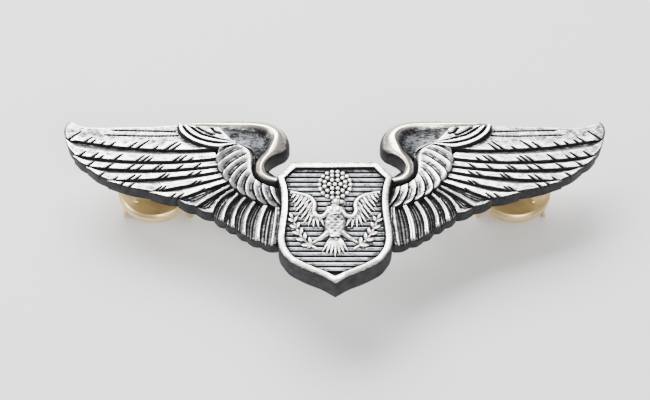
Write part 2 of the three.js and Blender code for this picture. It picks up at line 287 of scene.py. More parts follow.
def grooveCurve(groove, back=0.0):   # from its root to its tip, or to a point short of the tip
    tip, root, bow = Vector(groove[0]), Vector(groove[1]), groove[2]
    chord = root - tip
    aside = Vector((-chord.y, chord.x)).normalized()
    path = []
    for i in range(25):
        t = 1 - i / 24
        path.append(tip + chord * t + aside * (4 * bow * t * (1 - t)))
    whole = evenCurve(path)
    if not back:
        return whole
    share = 1 - back / whole.length
    return evenCurve([whole(share * i / 24) for i in range(25)])


def featherEdges(k):   # feather k's upper and lower edge, root to tip, and its blunt end if it has one
    grooves = wingPlan["grooves"]
    upper = grooveCurve(grooves[k - 1]) if k > 0 else curve(wingPlan["topEdge"])
    back = "tipStep" if k < featherShape["primaries"] else "innerTipStep"
    below = grooveCurve(grooves[k], wingPlan[back])
    mouth, tip = below(1), upper(1)
    if k == 0:
        return upper, below, curve([tip, *wingPlan["wingTip"], mouth])
    out = Vector((tip.y - mouth.y, mouth.x - tip.x)).normalized()
    middle = mouth.lerp(tip, 0.5) + out * wingPlan["bulge"]
    chord = tip - upper(0)
    turnAt = (mouth - upper(0)).dot(chord) / chord.length_squared
    if turnAt > 0.93:
        return upper, below, curve([tip, middle, mouth])
    turnAt = max(0.3, turnAt)
    edge = curve([mouth, middle, tip.lerp(middle, 0.06)])

    def lower(t):
        return below(t / turnAt) if t < turnAt else edge((t - turnAt) / (1 - turnAt))
    return upper, lower, None


def primaryHeight(fromUpper, width, topmost, along):
    shape = featherShape
    drop = min(shape["drop"], 0.35 * width)
    toLower = width - fromUpper
    crest = shape["crest"]
    if topmost:
        swell = step(0.35, 0.8, fromUpper / max(width, 0.01)) * (1 - step(0.93, 1.0, along))
        level = shape["topLevel"] + shape["topSwell"] * swell
        level -= shape["topRound"] * (1 - step(0.0, 0.22, fromUpper + 0.5 * step(0.97, 1.0, along)))
    else:
        low = blend(crest - 0.15, shape["low"], step(0.2, 1.4, width))
        level = blend(low, crest, step(0.0, 0.5, fromUpper / (width - drop)))
        level -= 0.14 * (1 - step(0.0, 0.14, fromUpper)) * step(0.2, 0.8, width)
    if toLower < drop and not (topmost and along > 0.955):
        level -= (crest - shape["lip"]) * (1 - toLower / drop) ** shape["dropPower"] * step(0.1, 0.6, width)
    return level


def secondaryHeight(fromUpper, width):
    shape = featherShape
    drop = min(shape["drop"], 0.3 * width)
    toLower = width - fromUpper
    t = fromUpper / (width - drop)
    level = blend(shape["low"] - shape["troughDepth"], shape["crest"] - 0.02, step(0.46, 0.72, t))
    veins = shape["veinHeight"] * math.cos((t - 0.1) * 2 * math.pi / shape["veinPitch"])
    level += veins * step(0.04, 0.12, t) * (1 - 0.6 * step(0.58, 0.68, t))
    if toLower < drop:
        level -= (shape["crest"] - shape["lip"]) * (1 - toLower / drop) ** shape["dropPower"]
    return level


def feather(k):
    shape = featherShape
    upper, lower, end = featherEdges(k)
    nicks = []
    for x, reach in (wingPlan["nicks"][k] if k < len(wingPlan["nicks"]) else []):
        t = min((i / 200 for i in range(201)), key=lambda i: abs(lower(i).x - x))
        start = lower(t)
        nicks.append((start, start + Vector((-1, wingPlan["nickRise"])) * (1.3 * reach)))
    lines = []
    if k == 0:
        for line in wingPlan["topLines"]:
            path = splinePath(line, 6)
            lines += list(zip(path, path[1:]))

    def place(along, across):
        a, b = upper(along), lower(along)
        spot = a.lerp(b, across)
        width = (b - a).length
        if end:
            spot = spot + (end(across) - upper(1).lerp(lower(1), across)) * step(0.86, 1.0, along) ** 1.5
        if k >= shape["primaries"]:
            z = secondaryHeight(width * across, width)
        else:
            z = primaryHeight(width * across, width, k == 0, along)
        z -= shape["endFall"] * step(0.98 if k == 0 else 0.94, 1.0, along) ** 2 * (1.0 if end else 0.3)
        z -= (engraved(spot, nicks, shape["nickDepth"], shape["nickWidth"])
              + engraved(spot, lines, shape["lineDepth"], shape["lineWidth"]))
        return spot.x, spot.y, z

    width = max((lower(t) - upper(t)).length for t in (0.2, 0.5, 0.8))
    rows = max(14, round(width / finest))
    fine = evenCuts(max(30, round(upper.length / finest)))
    marked = [(b.x - 0.2, a.x + 0.2) for a, b in nicks]

    def nicked(t):
        return any(low < upper(t).lerp(lower(t), 0.8).x < high for low, high in marked)
    columns = [t for i, t in enumerate(fine) if i % 3 == 0 or t > 0.9 or nicked(t)]   # closer at the nicks
    if columns[-1] < 1:
        columns.append(1.0)
    return sheet(f"feather{k}", columns, evenCuts(rows), place, shape["foot"])


feathers = joined("feathers", [feather(k) for k in range(len(wingPlan["grooves"]))])
print("feathers", len(feathers.data.vertices))


# Coverts: one sheet of ribs that curls round the shoulder

covertShape = {
    "outer": [(14.2, 9.75), (15.6, 9.2), (16.3, 8.1), (16.45, 6.8), (16.1, 5.3), (15.2, 3.75), (14.0, 2.3),
              (12.7, 1.15), (11.2, 0.3), (9.5, -0.45), (7.3, -1.05)],
    "inner": [(13.6, 9.75), (12.9, 9.4), (12.1, 9.1), (11.5, 8.75), (11.1, 7.9), (11.1, 6.8), (11.15, 5.6),
              (10.95, 4.5), (10.3, 3.7), (9.3, 3.15), (7.3, 2.7)],
    "ribs": 10, "lean": 0.15, "scallop": 0.3, "foot": 0.15, "width": 4.4,
    "innerTop": 2.35, "outerTop": 2.74, "innerCut": 0.12, "outerCut": 0.46,   # heights, and cuts between ribs
    "upright": 0.12,   # the share of a rib's width that its steep side takes
    "lipRise": 0.08, "edgeFall": 0.75, "quillCut": 0.09, "quillAt": 0.62,
}


def covertPlace(along, across):
    shape = covertShape
    phase = (along + shape["lean"] * (1 - across ** 1.4)) * shape["ribs"]
    t = phase - math.floor(phase)
    fade = step(0.0, 0.1, along) * step(0.1, 0.3, across + 0.25 * step(0.5, 0.7, along))
    spot = covertInner(along).lerp(covertOuter(along), across)
    out = (covertOuter(along) - covertInner(along)).normalized()
    rounded = 1 - (2 * t - 1) ** 2   # how far a rib's end sticks out at this phase
    spot = spot + out * (shape["scallop"] * (rounded - 0.4) * fade * step(0.6, 1.0, across))
    cut = blend(shape["innerCut"], shape["outerCut"], step(0.1, 0.75, across)) * fade
    upright = shape["upright"]
    ridge = step(0, 1, t / upright) if t < upright else 1 - ((t - upright) / (1 - upright)) ** 1.7
    z = blend(shape["innerTop"], shape["outerTop"], step(0.05, 0.85, across)) - 0.2 * step(0.7, 1.0, along)
    z -= 0.6 * (1 - step(0.0, 0.13, across)) + cut * (1 - ridge)
    z += shape["lipRise"] * math.exp(-((across - 0.88) / 0.07) ** 2) * fade
    z -= shape["edgeFall"] * step(0.93, 1.0, across) ** 1.5
    quill = math.exp(-((t - shape["quillAt"]) / 0.06) ** 2) * fade
    z -= shape["quillCut"] * quill * step(0.3, 0.5, across) * (1 - step(0.7, 0.86, across))
    return spot.x, spot.y, z


covertOuter = curve(covertShape["outer"])
covertInner = curve(covertShape["inner"])
coverts = sheet("coverts", evenCuts(round(covertOuter.length / finest)),
                evenCuts(round(covertShape["width"] / finest)), covertPlace, covertShape["foot"])


# The leading edge: a roll that swells over the shoulder and turns down into the coverts

rollShape = {   # stations of the outer side, the crest and the inner side, each x, y, z
    "outer": [(21.95, 13.15, 2.0), (18, 13.4, 1.9), (14.6, 13.55, 1.8), (12, 13.58, 1.6), (10.2, 13.5, 1.35),
              (8.6, 13.1, 1.2), (7.3, 12.2, 1.1), (6.55, 11.1, 1.0), (6.3, 10.0, 1.0), (6.4, 8.8, 1.0),
              (7.0, 7.9, 1.0), (7.9, 7.35, 1.05), (8.8, 6.7, 1.2), (9.35, 5.9, 1.4), (9.35, 5.1, 1.6),
              (9.0, 4.6, 1.7), (8.4, 4.2, 1.7), (7.3, 3.95, 1.7)],
    "crest": [(21.9, 12.8, 2.6), (18, 12.75, 2.75), (14.5, 12.6, 2.85), (12, 12.45, 3.0), (10.4, 12.15, 3.15),
              (9.1, 11.6, 3.25), (8.4, 10.9, 3.3), (8.2, 10.1, 3.32), (8.4, 9.3, 3.3), (8.75, 8.4, 3.28),
              (9.05, 7.5, 3.25), (9.6, 6.6, 3.2), (10.0, 5.8, 3.12), (10.15, 5.1, 3.05), (10.05, 4.4, 2.98),
              (9.6, 3.85, 2.88), (8.8, 3.45, 2.8), (7.3, 3.3, 2.7)],
    "inner": [(21.7, 12.4, 2.5), (18, 12.3, 2.62), (15.2, 12.1, 2.62), (12.3, 11.85, 2.5), (11.0, 11.6, 2.38),
              (10.15, 11.2, 2.28), (9.75, 10.6, 2.2), (9.55, 9.9, 2.15), (9.65, 9.2, 2.1), (9.95, 8.4, 2.0),
              (10.35, 7.6, 1.9), (10.75, 6.9, 1.8), (11.0, 6.2, 1.75), (11.05, 5.5, 1.7), (10.95, 4.6, 1.7),
              (10.35, 3.75, 1.7), (9.35, 3.15, 1.7), (7.3, 2.75, 1.7)],
    "foot": 0.15, "length": 24.3, "width": 3.6, "startFall": 0.3, "endFall": 0.7,
}
rollOuter, rollCrest, rollInner = (splinePath(rollShape[side], 12) for side in ("outer", "crest", "inner"))


def alongPath(path, t):
    t = min(0.999999, max(0.0, t)) * (len(path) - 1)
    return path[int(t)].lerp(path[int(t) + 1], t - int(t))


def rollPlace(along, across):
    a, b, c = (alongPath(path, along) for path in (rollOuter, rollCrest, rollInner))
    if across < 0.5:
        s = 1 - math.cos(across * math.pi)
        z = blend(a.z, b.z, math.sqrt(max(0.0, 1 - (1 - s) ** 2)))
        spot = a.lerp(b, s)
    else:
        s = across * 2 - 1
        spot = b.lerp(c, s)
        z = blend(b.z, c.z, blend(step(0, 1, s), 1 - math.sqrt(1 - s * s), 0.8 * step(0.5, 0.65, along)))
    z -= rollShape["endFall"] * step(0.975, 1.0, along)
    z -= rollShape["startFall"] * (1 - step(0.0, 0.03, along))
    return spot.x, spot.y, z


roll = sheet("rightRoll", evenCuts(round(rollShape["length"] / finest)),
             evenCuts(round(rollShape["width"] / finest)), rollPlace, rollShape["foot"])

hollowShape = {   # the far side of the dip behind the shoulder
    "far": [(16.3, 12.2, 2.62), (15.7, 11.5, 2.62), (15.1, 10.8, 2.55), (14.5, 10.2, 2.48), (13.7, 9.8, 2.4),
            (12.9, 9.45, 2.25), (12.1, 9.15, 2.1), (11.5, 8.8, 1.95), (11.0, 7.8, 1.75)],
    "near": [(15.2, 12.1, 2.62), (12.3, 11.85, 2.5), (11.0, 11.6, 2.38), (10.15, 11.2, 2.28),
             (9.75, 10.6, 2.2), (9.55, 9.9, 2.15), (9.65, 9.2, 2.1), (9.95, 8.4, 2.0), (10.5, 7.3, 1.85)],
    "dip": 0.16, "foot": 0.15, "length": 6, "width": 4,
}
hollowNear, hollowFar = (splinePath(hollowShape[side], 12) for side in ("near", "far"))


def hollowPlace(along, across):
    spot = alongPath(hollowNear, along).lerp(alongPath(hollowFar, along), across)
    return spot.x, spot.y, spot.z - hollowShape["dip"] * math.sin(math.pi * across) * step(0, 0.3, along)


hollow = sheet("rightHollow", evenCuts(round(hollowShape["length"] / finest)),
               evenCuts(round(hollowShape["width"] / finest)), hollowPlace, hollowShape["foot"])


# The thumb feathers: three nested strips below the leading edge

thumbShape = {
    "contours": [
        [(20.4, 12.5), (19.4, 12.4), (18.2, 12.32), (17.2, 12.25), (16.3, 12.2), (15.7, 11.5), (15.1, 10.8),
         (14.5, 10.2), (13.8, 9.95)],
        [(20.5, 12.5), (19.9, 12.2), (19.25, 11.65), (18.4, 11.05), (17.7, 10.8), (16.8, 10.5),
         (15.95, 10.15), (15.0, 9.95), (13.9, 9.85)],
        [(21.2, 12.5), (20.85, 11.95), (20.15, 11.15), (19.05, 10.4), (17.9, 9.95), (16.8, 9.7), (15.7, 9.55),
         (14.8, 9.6), (13.8, 9.75)],
        [(21.98, 12.85), (21.85, 12.0), (21.45, 11.2), (20.6, 10.35), (19.55, 9.65), (18.25, 9.1),
         (16.9, 8.75), (15.6, 8.8), (13.8, 9.4)],
    ],
    "low": 2.35, "crest": 2.7, "stripStep": 0.06, "drop": 0.22, "fall": 0.5, "foot": 0.15, "width": 2,
    "barbs": [[(19.2, 12.2), (18.5, 11.7), (17.4, 11.1), (16.7, 11.0)],
              [(17.2, 12.05), (16.65, 11.4), (15.8, 11.15)]],
    "barbDepth": 0.4, "barbWidth": 0.13,
}


def thumbStrip(k):
    shape = thumbShape
    a, b = curve(shape["contours"][k]), curve(shape["contours"][k + 1])
    barbs = []
    for line in shape["barbs"]:
        path = splinePath(line, 5)
        barbs += list(zip(path, path[1:]))

    def place(along, across):
        spot = a(along).lerp(b(along), across)
        width = (b(along) - a(along)).length
        top = shape["crest"] + shape["stripStep"] * k
        low = top if k == 0 else blend(top, shape["low"], step(0.1, 0.7, width))
        drop = min(shape["drop"], 0.35 * width)
        toLower = width * (1 - across)
        if toLower < drop:
            z = top - shape["fall"] * (1 - toLower / drop) ** 2
        else:
            z = blend(low, top, step(0.0, 0.6, across * width / (width - drop)))
        if k == 0:
            z -= engraved(spot, barbs, shape["barbDepth"], shape["barbWidth"])
        return spot.x, spot.y, z - 0.2 * step(0.8, 1.0, along)
    rows = max(12, round(shape["width"] / finest))
    return sheet(f"thumb{k}", evenCuts(round(b.length / finest)), evenCuts(rows), place, shape["foot"])


thumb = joined("thumb", [thumbStrip(k) for k in range(3)])

# The plate behind the whole relief, a little smaller than the edges above it
tips = [groove[0] for groove in wingPlan["grooves"]]
backOutline = [(6.9, -6.9)] + [(x - 0.25, y + 0.3) for x, y in reversed(tips)]
backOutline += [(37.6, 11.5), (37.75, 12.2), (37.4, 12.9), (36.6, 12.8), (35.6, 12.6), (29, 12.6), (22, 12.9)]
backOutline += [(p[0] + 0.1, p[1] - 0.15) for p in rollShape["outer"][1:7]]
backOutline += [(p[0] + 0.2, p[1]) for p in rollShape["outer"][7:14]] + [(6.9, 3.8)]
backPlate = {"low": 0.03, "high": 1.3}
wingBack = plate("wingBack", backOutline, backPlate["low"], backPlate["high"])
wing = joined("rightWing", [feathers, coverts, thumb, wingBack])
print("wing", len(wing.data.vertices))


# The shield: a raised rim round a field of bars

shieldShape = {
    "corner": (5.75, 5.55),
    "side": [(7.86, 3.16), (7.45, 1.6), (7.27, 0.2), (7.22, -1.3), (7.3, -2.8), (7.5, -4.6), (7.62, -6.2),
             (7.58, -7.4), (7.3, -8.5)],
    "foot": [(7.3, -8.5), (6.2, -10.1), (4.9, -11.0), (3.5, -11.75), (1.8, -12.5), (0.0, -13.63)],
    "innerCorner": (5.3, 4.55),
    "innerSide": [(6.82, 2.85), (6.44, 1.5), (6.27, 0.2), (6.22, -1.3), (6.3, -2.85), (6.5, -4.65),
                  (6.6, -6.15), (6.55, -7.2), (6.33, -8.05)],
    "innerFoot": [(6.33, -8.05), (5.5, -9.35), (4.4, -10.15), (3.1, -10.85), (1.55, -11.55), (0.0, -12.35)],
    "top": 3.88, "field": 3.15,
    "profile": [(0.0, -0.22), (0.03, -0.12), (0.09, -0.04), (0.18, 0.0), (0.82, 0.0), (0.89, -0.05),
                (0.94, -0.17), (1.0, -0.73)],   # how far in from the edge, and how far below the top
    "barPitch": 0.78, "barWidth": 0.6, "barTop": 3.5, "firstBar": 4.36, "bars": 21,
    "barRound": 0.22, "barDepth": 0.3, "barGap": 0.55,   # the fall of its edges, its sunk part, its end gap
}


def shieldOutline(corner, side, foot):
    half = [Vector(shieldShape[corner])] + splinePath(shieldShape[side], 4)
    half += splinePath(shieldShape[foot], 4)[1:]
    return half + [Vector((-p.x, p.y)) for p in reversed(half[:-1])]


def shieldBody():
    shape = shieldShape
    outer = shieldOutline("corner", "side", "foot")
    inner = shieldOutline("innerCorner", "innerSide", "innerFoot")
    rings = [[(*(p * 0.985), 0.0) for p in outer], [(*p, 0.15) for p in outer]]
    for inward, below in shape["profile"]:
        rings.append([(*a.lerp(b, inward), shape["top"] + below) for a, b in zip(outer, inner)])
    return stacked("shieldBody", rings)


def innerHalf(y):   # half the field's width at a height
    half = splinePath(shieldShape["side"], 4) + splinePath(shieldShape["foot"], 4)[1:]
    width = shieldShape["corner"][0]
    for a, b in zip(half, half[1:]):
        if b.y <= y <= a.y and a.y > b.y:
            width = blend(a.x, b.x, (a.y - y) / (a.y - b.y))
    if y > shieldShape["side"][0][1]:
        corner, side = shieldShape["corner"], shieldShape["side"][0]
        width = blend(side[0], corner[0], (y - side[1]) / (corner[1] - side[1]))
    return width


def fieldBars():
    shape = shieldShape
    bars = []
    for k in range(shape["bars"]):
        y = shape["firstBar"] - k * shape["barPitch"]
        reach = min(innerHalf(y + 0.25), innerHalf(y - 0.25)) - shape["barGap"] - 0.5 * step(-9, -12, y)
        if reach < 0.6:
            break

        def place(along, across):
            side = across * 2 - 1
            edge = max(0.0, abs(side) - 0.45) / 0.55
            z = shape["barTop"] - shape["barRound"] * edge ** 2.5
            return (along * 2 - 1) * reach, y + side * shape["barWidth"] / 2, z
        bars.append(sheet(f"bar{k}", evenCuts(round(2 * reach / (finest * 1.8))),
                          [0, 0.04, 0.12, 0.25, 0.4, 0.55, 0.7, 0.85, 0.96, 1], place,
                          shape["field"] - shape["barDepth"]))
    return joined("bars", bars)


shield = shieldBody()
bars = fieldBars()
print("shield body and bars")


# The shield's device: a spread bird with a plain feathered breast, two sprigs and a boss of beads

def blade(name, length, width, height, tip=0.6, quill=0.03):   # a leaf or feather lying along +X
    def place(along, across):
        side = across * 2 - 1
        swell = math.sin(math.pi * min(1.0, along ** tip * 0.5 + 0.5 * along)) ** 0.6 if along < 1 else 0
        half = max(width / 2 * swell, 0.02 * width)
        z = height * (1 - abs(side) ** 3.5) * (0.6 + 0.4 * math.sin(math.pi * along))
        z -= quill * math.exp(-(side / 0.18) ** 2) * math.sin(math.pi * along)
        return along * length, side * half, z
    return sheet(name, evenCuts(9), [0, 0.08, 0.25, 0.42, 0.5, 0.58, 0.75, 0.92, 1], place, -0.25)


def swept(name, path, radii, squash=0.7, foot=-0.2, rows=10):   # a rounded ridge that follows a path
    line = evenCurve(path)

    def place(along, across):
        spot = line(along)
        run = (line(min(1, along + 0.02)) - line(max(0, along - 0.02))).normalized()
        out = Vector((-run.y, run.x))
        t = min(1.0, max(0.0, along)) * (len(radii) - 1)
        i = min(len(radii) - 2, int(t))
        r = blend(radii[i], radii[i + 1], step(0, 1, t - i))
        angle = math.pi * across
        spot = spot + out * (r * math.cos(angle))
        return spot.x, spot.y, r * squash * math.sin(angle) ** 0.7
    return sheet(name, evenCuts(max(10, round(line.length / 0.16))), evenCuts(rows), place, foot)


def raised(piece, z):
    piece.data.transform(Matrix.Translation((0, 0, z)))
    return piece


birdShape = {
    "field": 3.34,   # the level that the device stands on, and how far over it each part lies
    "rise": {"arm": 0.22, "quill": 0.14, "covert": 0.2, "stem": 0.1, "leaf": 0.12, "torso": 0.08,
             "tail": 0.08, "leg": 0.08, "toe": 0.18, "neck": 0.12, "head": 0.16, "beak": 0.22, "eye": 0.44},
    "arm": [(0.9, -2.2), (1.5, -3.1), (2.35, -3.2), (2.85, -2.4), (2.75, -1.3), (3.1, -0.45), (3.9, 0.15),
            (5.0, 0.5), (6.0, 0.85)],
    "armSize": [0.3, 0.36, 0.36, 0.34, 0.32, 0.3, 0.27, 0.2, 0.1],
    "tips": [(1.5, -4.7), (2.3, -5.0), (3.2, -4.85), (4.1, -4.4), (4.75, -3.7), (5.2, -2.8), (5.5, -1.8),
             (5.75, -0.9), (5.95, -0.1), (6.05, 0.45)],
    "quills": 12, "quillWidth": 0.42, "quillHeight": 0.2, "coverts": 11, "covertWidth": 0.36,
    "tailQuills": 7, "tailSpread": 0.52, "tailLength": 3.35, "tailWidth": 0.62, "tailHeight": 0.26,
    "sprig": [(2.4, -8.2), (3.3, -7.6), (4.2, -6.7), (4.85, -5.6), (5.4, -4.3), (5.7, -3.3)],
    "leaves": 5, "leafLength": 1.35, "leafWidth": 0.68, "leafHeight": 0.3, "leafTurn": 0.7,
    "breast": 1.6, "breastTop": -1.7, "breastFoot": -6.4, "breastHeight": 0.36,
    "scaleSize": 0.48, "scaleRise": 0.07,
    "leg": [(0.9, -5.6), (1.7, -6.35), (2.5, -6.9), (3.3, -7.5)], "legSize": [0.5, 0.36, 0.22, 0.18],
    "toe": [(0, 0), (0.35, 0.12), (0.62, -0.02)], "toeSize": [0.13, 0.11, 0.04], "toeTurns": (-0.9, -0.2, 0.5),
    "neck": [(0, -2.9), (-0.1, -2.2), (0.0, -1.5), (0.15, -1.0)], "neckSize": [1.25, 0.86, 0.62, 0.52],
    "head": [(-0.42, -0.95), (0.05, -0.8), (0.55, -0.82), (0.9, -0.95)], "headSize": [0.2, 0.55, 0.44, 0.24],
    "beak": [(0.7, -0.86), (1.1, -0.86), (1.32, -1.04), (1.3, -1.3)], "beakSize": [0.3, 0.25, 0.17, 0.04],
    "eye": [(0.4, -0.74), (0.54, -0.74)], "eyeSize": [0.08, 0.08],
}


def over(part):   # the height that a part of the device starts from
    return birdShape["field"] + birdShape["rise"][part]


def ridge(part, side=1, squash=0.7, rows=10):   # a rounded ridge from the device's dictionary
    path = [Vector((side * x, y)) for x, y in birdShape[part]]
    return raised(swept(part, path, birdShape[part + "Size"], squash, rows=rows), over(part))


def laid(first, name, start, end, width, z):   # a copy of a unit blade laid from start to end
    run = Vector(end) - Vector(start)
    piece = copyOf(first, name)
    for vertex in piece.data.vertices:
        vertex.co.x *= run.length
        vertex.co.y *= width
    return moved(piece, (start[0], start[1], z), math.atan2(run.y, run.x))


def birdWing():
    shape = birdShape
    arm, tips = curve(shape["arm"]), curve(shape["tips"])
    parts = [raised(swept("arm", [arm(i / 40) for i in range(41)], shape["armSize"], 0.75), over("arm"))]
    first = blade("quill", 1.0, 1.0, shape["quillHeight"], 0.5)
    for k in range(shape["quills"]):
        t = k / (shape["quills"] - 1)
        root = arm(blend(0.2, 0.97, t))
        z = over("quill") + 0.02 * (k % 2)   # every other quill lies a little higher
        parts.append(laid(first, f"quill{k}", root, tips(t), shape["quillWidth"], z))
    for k in range(shape["coverts"]):   # the short coverts over the quills' roots
        t = (k + 0.5) / shape["coverts"]
        root = arm(blend(0.18, 0.95, t))
        end = root.lerp(tips(t), 0.48)
        parts.append(laid(first, f"covert{k}", root, end, shape["covertWidth"], over("covert")))
    choose(first)
    bpy.ops.object.delete()
    return joined("birdWing", parts)


def sprig(name):
    shape = birdShape
    stem = curve(shape["sprig"])
    parts = [raised(swept("stem", [stem(i / 20) for i in range(21)], [0.2, 0.18, 0.12], 0.8), over("stem"))]
    leaf = blade("leaf", shape["leafLength"], shape["leafWidth"], shape["leafHeight"], 0.9, quill=0.06)
    for k in range(shape["leaves"]):
        t = (k + 0.9) / (shape["leaves"] + 0.6)
        spot, ahead = stem(t), stem(min(1, t + 0.05))
        run = math.atan2((ahead - spot).y, (ahead - spot).x)
        for side in (-1, 1):
            turn, size = run + side * shape["leafTurn"], blend(1.0, 0.72, t)
            parts.append(moved(copyOf(leaf, f"leaf{k}"), (spot.x, spot.y, over("leaf")), turn, size))
    tip = stem(0.96)
    parts.append(moved(copyOf(leaf, "leafEnd"), (tip.x, tip.y, over("leaf")), 1.1, 0.75))
    choose(leaf)
    bpy.ops.object.delete()
    return joined(name, parts)


def breastHalf(t):   # half the breast's width, from its top to its foot
    swell = 0.5 + 0.5 * math.sin(math.pi * min(1, 0.2 + 0.7 * t)) ** 0.8
    return birdShape["breast"] * swell * (1 - 0.3 * step(0.8, 1, t))


def scales(x, y):   # shingled breast feathers: each rises towards its rounded lower rim
    size = birdShape["scaleSize"]
    for row in range(16):
        top = -1.9 - row * size * 0.95
        column = round(x / size / 1.9 - 0.5 * (row % 2)) + 0.5 * (row % 2)
        away = Vector((x - column * size * 1.9, (y - top) * 0.9)).length / size
        if away < 1.02:
            return birdShape["scaleRise"] * away ** 2
    return 0.0


def torso(along, across):
    side = across * 2 - 1
    x, y = side * breastHalf(along), blend(birdShape["breastTop"], birdShape["breastFoot"], along)
    return x, y, birdShape["breastHeight"] * (1 - abs(side) ** 5) + scales(x, y) * (1 - abs(side) ** 4)


def birdBody():
    shape = birdShape
    parts = [raised(sheet("torso", evenCuts(70), evenCuts(44), torso, -0.3), over("torso"))]
    for k in range(shape["tailQuills"]):
        t = k / (shape["tailQuills"] - 1) * 2 - 1
        length = shape["tailLength"] * (1 - 0.14 * abs(t))
        piece = blade(f"tail{k}", length, shape["tailWidth"], shape["tailHeight"], 0.35)
        spot = (t * 0.25, -6.1, over("tail") + 0.04 * (1 - abs(t)))
        parts.append(moved(piece, spot, math.radians(-90) + t * shape["tailSpread"]))
    for side in (-1, 1):   # thighs and feet that hold the sprigs
        parts.append(ridge("leg", side))
        for turn in shape["toeTurns"]:
            toe = swept("toe", [Vector(p) for p in shape["toe"]], shape["toeSize"], 0.8)
            angle = turn if side > 0 else math.pi - turn
            parts.append(moved(toe, (side * 3.2, -7.45, over("toe")), angle, 1.35))
    for part, squash, rows in (("neck", 0.35, 14), ("head", 0.6, 12), ("beak", 0.8, 8), ("eye", 0.8, 6)):
        parts.append(ridge(part, 1, squash, rows))
    return joined("birdBody", parts)


bossShape = {
    "centre": (0.0, 1.95), "disc": 2.15, "discDepth": 0.3, "discRise": -0.1, "discEdge": 0.1,
    "rings": [(0, 1), (0.76, 6), (1.45, 12)], "beadRise": 0.24,   # radius and number of beads
    "bead": 0.31, "beadFlat": 0.65, "beadPower": 0.45,
    "scallops": 18, "scallopRing": 2.13, "scallopRise": 0.12, "scallopSize": 1.05,
}


def ringSpot(radius, angle, rise):
    x, y = bossShape["centre"]
    return x + radius * math.cos(angle), y + radius * math.sin(angle), birdShape["field"] + rise


def beadedBoss():
    shape = bossShape
    choose()
    bpy.ops.mesh.primitive_cylinder_add(vertices=48, radius=shape["disc"], depth=shape["discDepth"],
                                        location=ringSpot(0, 0, shape["discRise"]))
    parts = [softened(applied(named("bossDisc")), shape["discEdge"], 2)]
    choose()
    bpy.ops.mesh.primitive_uv_sphere_add(segments=12, ring_count=8, radius=shape["bead"])
    bead = named("bead")
    for vertex in bead.data.vertices:   # struck beads are low domes
        height = abs(vertex.co.z / shape["bead"]) ** shape["beadPower"]
        vertex.co.z = math.copysign(height, vertex.co.z) * shape["bead"] * shape["beadFlat"]
    for radius, count in shape["rings"]:
        for i in range(count):
            angle = 2 * math.pi * (i + 0.5 * (count == 12)) / count
            parts.append(moved(copyOf(bead, f"bead{radius}.{i}"), ringSpot(radius, angle, shape["beadRise"])))
    for i in range(shape["scallops"]):
        spot = ringSpot(shape["scallopRing"], 2 * math.pi * i / shape["scallops"], shape["scallopRise"])
        parts.append(moved(copyOf(bead, f"scallop{i}"), spot, 0, shape["scallopSize"]))
    choose(bead)
    bpy.ops.object.delete()
    return joined("beadedBoss", parts)


rightBirdWing = birdWing()
leftBirdWing = mirroredCopy(rightBirdWing, "leftBirdWing")
rightSprig = sprig("rightSprig")
leftSprig = mirroredCopy(rightSprig, "leftSprig")
device = joined("device", [birdBody(), rightBirdWing, leftBirdWing, rightSprig, leftSprig, beadedBoss()])
print("shield and device", len(bars.data.vertices), len(device.data.vertices))


# How high each spot stands over its surroundings: polishing reaches the high spots, the black stays low

strikeLook = {
    "near": 0.22, "nearMost": 0.35,   # two rings of casts: their radii and the most that a cast counts for
    "far": 0.75, "farMost": 0.9,
    "casts": 8, "firstCast": 10, "deepest": 1.1, "beyond": 0.04,   # a deeper drop is the piece's own edge
    "back": (0.06, 0.1),
}


def strikeMap(pieces):
    look = strikeLook
    points, faces = [], []
    for piece in pieces:
        start = len(points)
        points += [v.co.copy() for v in piece.data.vertices]
        faces += [[start + i for i in p.vertices] for p in piece.data.polygons]
    tree = BVHTree.FromPolygons(points, faces)
    down, high = Vector((0, 0, -1)), 9.0
    angles = [math.radians(360 // look["casts"] * i + look["firstCast"]) for i in range(look["casts"])]
    ring = [Vector((math.cos(a), math.sin(a), 0)) for a in angles]

    def rise(spot, radius, most):
        total = 0.0
        for arm in ring:
            at = spot + arm * radius
            hit = tree.ray_cast(Vector((at.x, at.y, high)), down)
            drop = spot.z - hit[0].z if hit[0] and spot.z - hit[0].z < look["deepest"] else look["beyond"]
            total += min(most, max(-most, drop))
        return total / len(ring)

    for piece in pieces:
        measured = [(rise(v.co, look["near"], look["nearMost"]), rise(v.co, look["far"], look["farMost"]))
                    for v in piece.data.vertices]
        layer = piece.data.color_attributes.new("strike", "FLOAT_COLOR", "CORNER")
        for face in piece.data.polygons:
            up = abs(face.normal.z)
            for corner in face.loop_indices:
                fine, broad = measured[piece.data.loops[corner].vertex_index]
                if face.normal.z < -0.5:   # the back is plain
                    fine, broad = look["back"]
                # blue: how far the face looks up, which the silver finishes use to paint shade on the upright
                # sides
                layer.data[corner].color = (0.5 + fine, 0.5 + broad * 0.5, up, 1)


strikeMap([wing, roll, hollow, shield, bars, device])
print("strike measured")


# Materials

class Wire:   # a shader socket that arithmetic works on
    def __init__(self, finish, socket):
        self.finish, self.socket = finish, socket

    def math(self, operation, *values):
        return self.finish.node("Math", {"operation": operation}, dict(enumerate(values)))

    def __add__(self, other):
        return self.math("ADD", self, other)

    def __radd__(self, other):
        return self.math("ADD", other, self)

    def __sub__(self, other):
        return self.math("SUBTRACT", self, other)

    def __rsub__(self, other):
        return self.math("SUBTRACT", other, self)

    def __mul__(self, other):
        return self.math("MULTIPLY", self, other)

    def __rmul__(self, other):
        return self.math("MULTIPLY", other, self)


